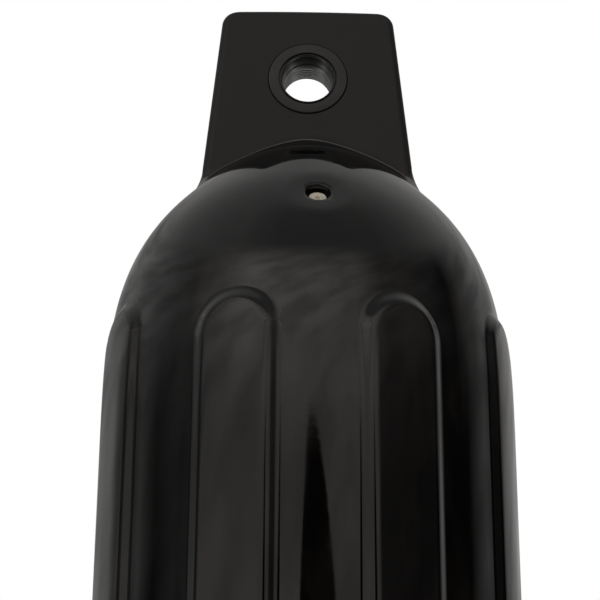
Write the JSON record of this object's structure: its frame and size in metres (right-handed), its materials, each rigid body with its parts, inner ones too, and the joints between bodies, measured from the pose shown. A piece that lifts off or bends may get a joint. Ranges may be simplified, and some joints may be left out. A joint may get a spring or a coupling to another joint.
{
  "type": "pneumatic boat fender",
  "caption": "Long inflatable black vinyl boat fender with raised lengthwise ribs, domed ends, a flat eye tab at each end and a recessed inflation valve.",
  "frame": {"origin": "centre of the upper eye, halfway through the tab", "axes": "+Z along the length, from the lower eye to the upper eye; +Y through the upper eye, away from the valve side; +X to the right seen from the valve side"},
  "size_m": [0.136, 0.136, 0.508],
  "materials": {
    "black_vinyl": "glossy moulded vinyl",
    "cream_rubber": "matte soft rubber",
    "black_nylon": "satin moulded plastic"
  },
  "bodies": {
    "root": {"fender_body": "black_vinyl", "valve_plug": "cream_rubber", "upper_eye_front_bush": "black_nylon", "upper_eye_rear_bush": "black_nylon", "lower_eye_front_bush": "black_nylon", "lower_eye_rear_bush": "black_nylon"}
  },
  "joints": []
}
